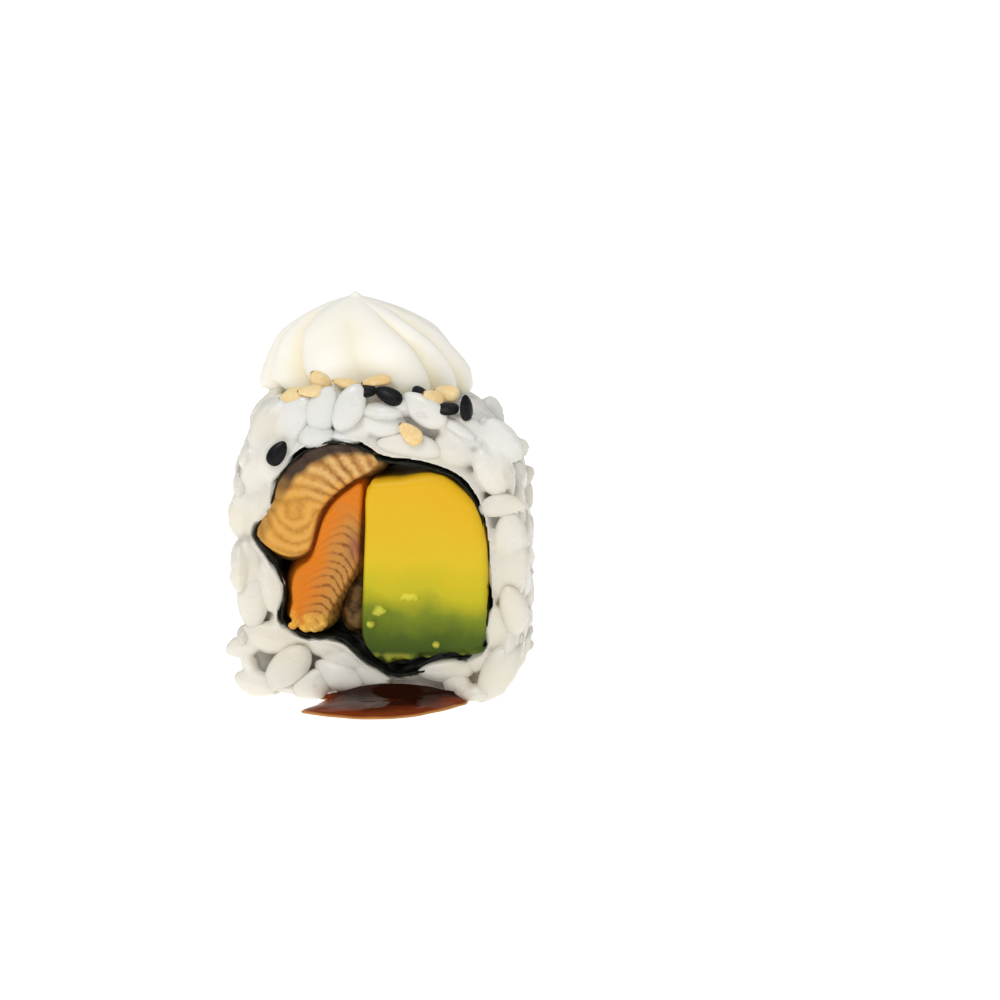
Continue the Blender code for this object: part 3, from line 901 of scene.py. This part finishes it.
cream_bm = bmesh.new()
groove_shade = cream_bm.verts.layers.float.new("groove_shade")
bmesh.ops.create_uvsphere(cream_bm, u_segments=CREAM_SEGMENTS, v_segments=CREAM_RINGS, radius=1.0)
for vert in cream_bm.verts:
    angle = math.atan2(vert.co.y, vert.co.x)
    polar = math.acos(max(-1.0, min(1.0, vert.co.z)))
    share = max(0.0, 1.0 - polar / (0.62 * math.pi))
    height = math.sin(share * math.pi / 2) ** 1.15 if share > 0.0 else 0.0
    dome = (1.0 - height ** 2.6) ** 0.85
    skirt = 1.0 + 0.06 * noise.noise(Vector((math.cos(angle) * 1.6, math.sin(angle) * 1.6, height * 2.6)))
    lumpy = Vector((math.cos(angle) * 2.8 * height, math.sin(angle) * 2.8, height * 4.0))
    bulge = math.exp(-((angle - 0.25) / 0.3) ** 2 - ((height - 0.24) / 0.15) ** 2)
    skirt += 0.03 * noise.noise(lumpy) + 0.045 * bulge
    tucked = 1.0 - 0.13 * max(0.0, 1.0 - height / 0.2) ** 2
    fade = min(1.0, (1.0 - height) / 0.28)
    groove = fade * cream_grooves(angle, height)
    spread = dome * tucked * skirt * (1.0 - 0.18 * groove)
    # Painted shade: the grooves between ridges, and the low skirt, are painted a deeper yellow.
    vert[groove_shade] = min(1.0, groove) + max(0.0, 1.0 - height / 0.35) * 0.6
    if share == 0.0:
        spread *= (math.pi - polar) / (0.38 * math.pi)
    lean = -1.5 * MM * height ** 2
    x = cream_middle.x + lean + cream_reach.x * spread * math.cos(angle)
    y = cream_middle.y + cream_reach.y * spread * math.sin(angle)
    base = min(rice_height(x, y), 38.4 * MM) - 0.8 * MM
    tip = 0.5 * MM * max(0.0, height - 0.985) / 0.015
    vert.co = (x, y, base + (cream_high.z - 0.9 * MM - base) * height + tip)
cream = made_piece(cream_bm, "cream_kiss")


def cream_colour(tree):
    even = blended(tree, remap(tree, spots(tree, 5 * MM), 0.35, 0.7), CREAM_PALE, CREAM_BUTTERY)
    # Painted shade in the grooves and on the low skirt.
    return blended(tree, remap(tree, attribute(tree, "groove_shade"), 0.1, 1.1, 0.0, 0.75), even, CREAM_GROOVE_SHADE)


def cream_gloss(tree):
    return remap(tree, spots(tree, 3 * MM), 0.3, 0.7, 0.38, 0.55)


cream_finish = food("cream", cream_colour, cream_gloss, 1.0 * MM, 0.03 * MM, subsurface=0.2)
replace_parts(finish_piece(cream, cream_finish), "cream")


# ---- Sesame ---------------------------------------------------------------------------------------------
# Toasted white and raw black sesame seeds, flat teardrops about 3.4 mm long. Most were caught between the
# cream and the rice, a few stuck to the cut faces and the sides.

# Each is (x, y, z, turn in degrees, yaw in degrees, tilt in degrees, length, width), sizes in millimetres.
# Turn is read on the front cut face; yaw 0 faces the front; tilt leans the flat side up.
GOLD_SEEDS = [
    (-7.4, -10.2, 39.9, 130, 10, 20, 3.2, 2.5), (-4.2, -10.7, 39.75, 150, 20, 70, 3.4, 2.1),
    (-0.3, -10.8, 40.05, 200, -5, 65, 3.9, 2.1), (-8.4, -12.1, 38.9, 185, 0, 60, 3.3, 2.2),
    (-10.9, -11.4, 38.2, 205, -20, 40, 3.2, 2.2), (4.1, -13.0, 33.9, 138, 0, 6, 3.6, 2.3),
    (6.9, -11.8, 38.2, 150, 35, 30, 3.1, 2.1), (8.4, -10.3, 38.6, 170, -15, 30, 3.5, 2.2),
    (4.6, 12.0, 36.0, 20, 180, 10, 3.5, 2.2),
    (-7.5, 12.4, 36.0, 70, 180, 10, 3.4, 2.2), (-6.0, 11.9, 38.9, 30, 180, 40, 3.4, 2.2),
    (3.5, 11.6, 38.2, 160, 180, 50, 3.5, 2.2), (8.9, 12.6, 33.0, 40, 180, 0, 3.4, 2.2),
    (-18.6, 1.5, 27.0, 120, -90, 0, 3.4, 2.2),
]
BLACK_SEEDS = [
    (-12.4, -13.1, 31.2, 57, 0, 5, 3.5, 2.3), (1.4, -12.4, 38.5, 153, 0, 25, 3.8, 2.3),
    (5.2, -10.8, 38.3, 120, 0, 40, 3.2, 2.2), (8.4, -12.2, 36.9, 178, 0, 50, 3.6, 2.2),
    (11.0, -11.9, 37.0, 98, 50, 0, 3.4, 2.2), (-1.7, -11.9, 38.9, 190, 0, 50, 3.2, 2.1),
    (6.9, 12.3, 35.4, 130, 180, 5, 3.4, 2.2), (-18.6, -3.5, 21.0, 75, -90, 0, 3.4, 2.2),
    (0.0, 11.7, 38.7, 100, 180, 45, 3.4, 2.2), (-11.5, 12.6, 33.5, 70, 180, 0, 3.4, 2.2),
    (-18.4, 5.0, 15.5, 60, -90, 0, 3.4, 2.2),
]


def seed_piece(name, seeds, seed, narrowing):
    """Sesame seeds as one piece: blunt at one end, drawn to a point at the other, flat with a soft rim."""
    rng = random.Random(seed)
    bm = bmesh.new()
    tip = bm.verts.layers.float.new("tip")
    tone = bm.verts.layers.float.new("tone")
    for x, y, z, turn, yaw, tilt, length, width in seeds:
        made = bmesh.ops.create_uvsphere(bm, u_segments=12, v_segments=10, radius=1.0)["verts"]
        own_tone = rng.random()
        place = (
            Matrix.Translation(Vector((x, y, z)) * MM) @ Matrix.Rotation(math.radians(yaw), 4, "Z")
            @ Matrix.Rotation(math.radians(-tilt), 4, "X") @ Matrix.Rotation(math.radians(-turn), 4, "Y")
        )
        for vert in made:
            across, deep, t = vert.co
            drop = 1.0 - narrowing * t + narrowing * max(0.0, -t) ** 4
            ridge = 1.0 + 0.12 * math.exp(-(across / 0.18) ** 2)
            vert[tip] = t
            vert[tone] = own_tone
            own = Vector((t * length, deep * drop * ridge, across * drop * width))
            vert.co = place @ (own * 0.5 * MM)
    piece = made_piece(bm, name)
    rounded = piece.modifiers.new("rounded", "SUBSURF")
    rounded.levels = rounded.render_levels = 1
    return piece


GOLD_LIGHT = (0.90, 0.68, 0.34)
GOLD_TOASTED = (0.84, 0.54, 0.21)
GOLD_SPECK = (0.93, 0.78, 0.48)
GOLD_TIP = (0.10, 0.035, 0.01)
BLACK_HULL = (0.004, 0.004, 0.005)
BLACK_WORN = (0.012, 0.012, 0.014)


def gold_colour(tree):
    toasted = blended(tree, attribute(tree, "tone"), GOLD_LIGHT, GOLD_TOASTED)
    mottled = blended(tree, remap(tree, spots(tree, 0.7 * MM), 0.4, 0.7, 0.0, 0.5), toasted, GOLD_SPECK)
    return blended(tree, remap(tree, attribute(tree, "tip"), 0.82, 0.96), mottled, GOLD_TIP)


def gold_gloss(tree):
    return remap(tree, spots(tree, 0.8 * MM), 0.3, 0.7, 0.35, 0.5)


def black_colour(tree):
    return blended(tree, remap(tree, spots(tree, 0.35 * MM), 0.4, 0.7), BLACK_HULL, BLACK_WORN)


def black_gloss(tree):
    return remap(tree, spots(tree, 0.5 * MM), 0.3, 0.7, 0.3, 0.45)


gold_finish = food("sesame_gold", gold_colour, gold_gloss, 0.8 * MM, 0.012 * MM, subsurface=0.15)
black_finish = food("sesame_black", black_colour, black_gloss, 0.3 * MM, 0.02 * MM, specular=0.14)
finish_piece(seed_piece("sesame_gold", GOLD_SEEDS, 61, 0.32), gold_finish)
finish_piece(seed_piece("sesame_black", BLACK_SEEDS, 62, 0.2), black_finish)


# ---- Eel sauce ------------------------------------------------------------------------------------------
# Thick sweet eel sauce that has run out from under the roll. It wets the foot of the rice, is almost black
# where it is deep, and turns red and then amber towards its thin rounded rim.

SAUCE_POINTS = 160
SAUCE_RINGS = 26
SAUCE_DEEP = 0.95 * MM
SAUCE_OUT = 0.35 * MM
SAUCE_SOFTENINGS = 24
SAUCE_CLIMB = 2.0 * MM
SAUCE_CREST = 2.0 * MM
SAUCE_LEFT_SPAN = 8.4 * MM
SAUCE_RIGHT_SPAN = 10.0 * MM
SAUCE_RIGHT_END = 11.2 * MM
SAUCE_AMBER = (0.62, 0.30, 0.09)
SAUCE_RED = (0.20, 0.035, 0.010)
SAUCE_BLACK = (0.022, 0.005, 0.002)
sauce_tree = cad_tree("sauce")
sauce_middle = Vector((1.0 * MM, FRONT - 4.9 * MM, 0.08 * MM))
sauce_back = FRONT + 0.7 * MM


def sauce_rim():
    """The rim of the CAD's pool, met by rays from its middle, and run in under the rice at the back."""
    rim = []
    for i in range(SAUCE_POINTS):
        turn = 2 * math.pi * i / SAUCE_POINTS
        ray = Vector((math.cos(turn), math.sin(turn), 0.0))
        point = sauce_tree.ray_cast(sauce_middle + ray * 40 * MM, -ray)[0]
        if point.y > FRONT - 0.6 * MM:
            point = sauce_middle + ray * (sauce_back - sauce_middle.y) / ray.y
        point.x = min(SAUCE_RIGHT_END - 0.1 * abs(point.y - FRONT + 2 * MM), point.x)
        rim.append(point + ray * (SAUCE_OUT + crinkle(point, 3 * MM, 0.3 * MM)))
    return rim


sauce_bm = bmesh.new()
depth_layer = sauce_bm.verts.layers.float.new("depth")
rim_line = sauce_rim()
rim_verts = bmesh.ops.create_circle(sauce_bm, cap_ends=True, segments=SAUCE_POINTS, radius=1.0)["verts"]
for vert, point in zip(rim_verts, rim_line):
    vert.co = (point.x, point.y, 0.03 * MM)
ring_edges = list(sauce_bm.edges)
for ring in range(1, SAUCE_RINGS + 1):
    share = 1.0 - ring / (SAUCE_RINGS + 1)
    made = bmesh.ops.extrude_edge_only(sauce_bm, edges=ring_edges)["geom"]
    ring_edges = [g for g in made if isinstance(g, bmesh.types.BMEdge)]
    for vert, point in zip([g for g in made if isinstance(g, bmesh.types.BMVert)], rim_line):
        here = sauce_middle.lerp(point, share)
        film = SAUCE_DEEP * (1.0 - share ** 3) ** 0.6
        reach = max(0.0, FRONT - here.y)
        span = SAUCE_LEFT_SPAN if here.x < SAUCE_CREST else SAUCE_RIGHT_SPAN
        aside = min(1.0, abs(here.x - SAUCE_CREST) / span)
        climb = SAUCE_CLIMB * (1.0 - aside ** 2.2) * math.exp(-(reach / (1.9 * MM)) ** 1.3)
        vert.co = (here.x, here.y, film + climb + crinkle(here, 2.5 * MM, 0.08 * MM))
        vert[depth_layer] = (film + 0.6 * climb) / SAUCE_DEEP
bmesh.ops.contextual_create(sauce_bm, geom=ring_edges)
inner = [vert for vert in sauce_bm.verts if vert[depth_layer] > 0.35]
for _ in range(SAUCE_SOFTENINGS):
    bmesh.ops.smooth_vert(sauce_bm, verts=inner, factor=0.5, use_axis_z=True)
bmesh.ops.recalc_face_normals(sauce_bm, faces=sauce_bm.faces)
sauce = made_piece(sauce_bm, "sauce_pool")


def sauce_colour(tree):
    depth = attribute(tree, "depth")
    streaks = remap(tree, spots(tree, 2.4 * MM, stretch=(0.35, 1.0, 1.0)), 0.3, 0.7, -0.12, 0.12)
    deeper = maths(tree, "ADD", depth, streaks)
    rim = blended(tree, remap(tree, depth, 0.05, 0.42), SAUCE_AMBER, SAUCE_RED)
    return blended(tree, remap(tree, deeper, 0.45, 1.15), rim, SAUCE_BLACK)


def sauce_gloss(tree):
    return remap(tree, spots(tree, 3 * MM), 0.3, 0.7, 0.04, 0.12)


sauce_finish = food("sauce", sauce_colour, sauce_gloss, 3.0 * MM, 0.02 * MM, specular=0.05)
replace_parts(finish_piece(sauce, sauce_finish), "sauce")


# ---- Floor, light and camera ----------------------------------------------------------------------------
# A white sweep, a bright even room, and one large soft lamp high on the left.

FLOOR_SIZE = 8.0
floor_bm = bmesh.new()
bmesh.ops.create_grid(floor_bm, x_segments=1, y_segments=1, size=FLOOR_SIZE / 2)
floor = made_piece(floor_bm, "floor")
floor_white = bpy.data.materials.new("floor_white")
floor_white.use_nodes = True
floor_shader = floor_white.node_tree.nodes["Principled BSDF"]
floor_shader.inputs["Base Color"].default_value = (0.72, 0.72, 0.72, 1.0)
floor_shader.inputs["Roughness"].default_value = 0.6
floor_shader.inputs["Emission Color"].default_value = (1.0, 1.0, 1.0, 1.0)
floor_shader.inputs["Emission Strength"].default_value = 0.68
floor.data.materials.append(floor_white)

world = bpy.data.worlds.new("studio")
world.use_nodes = True
world.node_tree.nodes["Background"].inputs["Color"].default_value = (1.0, 1.0, 1.0, 1.0)
world.node_tree.nodes["Background"].inputs["Strength"].default_value = 0.44
bpy.context.scene.world = world

# Each is (name, place, size, power), in metres and watts.
LAMPS = (
    ("key", (-0.18, -0.48, 0.58), 0.35, 2.1),
    ("top", (0.05, 0.15, 0.70), 0.50, 0.7),
    ("fill", (0.55, -0.55, 0.25), 0.40, 0.12),
)
for name, place, size, power in LAMPS:
    lamp = bpy.data.lights.new(name, "AREA")
    lamp.size = size
    lamp.energy = power
    holder = bpy.data.objects.new(name, lamp)
    holder.location = place
    holder.rotation_euler = (Vector((0.0, 0.0, 25 * MM)) - Vector(place)).to_track_quat("-Z", "Y").to_euler()
    bpy.context.scene.collection.objects.link(holder)

AZIMUTH = math.radians(4.8)
ELEVATION = math.radians(9.0)
DISTANCE = 0.688
lens = bpy.data.cameras.new("camera")
lens.lens = 200.0
lens.sensor_width = 36.0
lens.clip_end = 20.0
camera = bpy.data.objects.new("camera", lens)
aim = Vector((15.25 * MM, FRONT, 25.6 * MM))
level = Vector((math.sin(AZIMUTH), -math.cos(AZIMUTH), 0.0))
back = level * math.cos(ELEVATION) + Vector((0.0, 0.0, math.sin(ELEVATION)))
camera.location = aim + back * DISTANCE
camera.rotation_euler = (-back).to_track_quat("-Z", "Y").to_euler()
bpy.context.scene.collection.objects.link(camera)
bpy.context.scene.camera = camera
bpy.context.scene.view_settings.view_transform = "Standard"
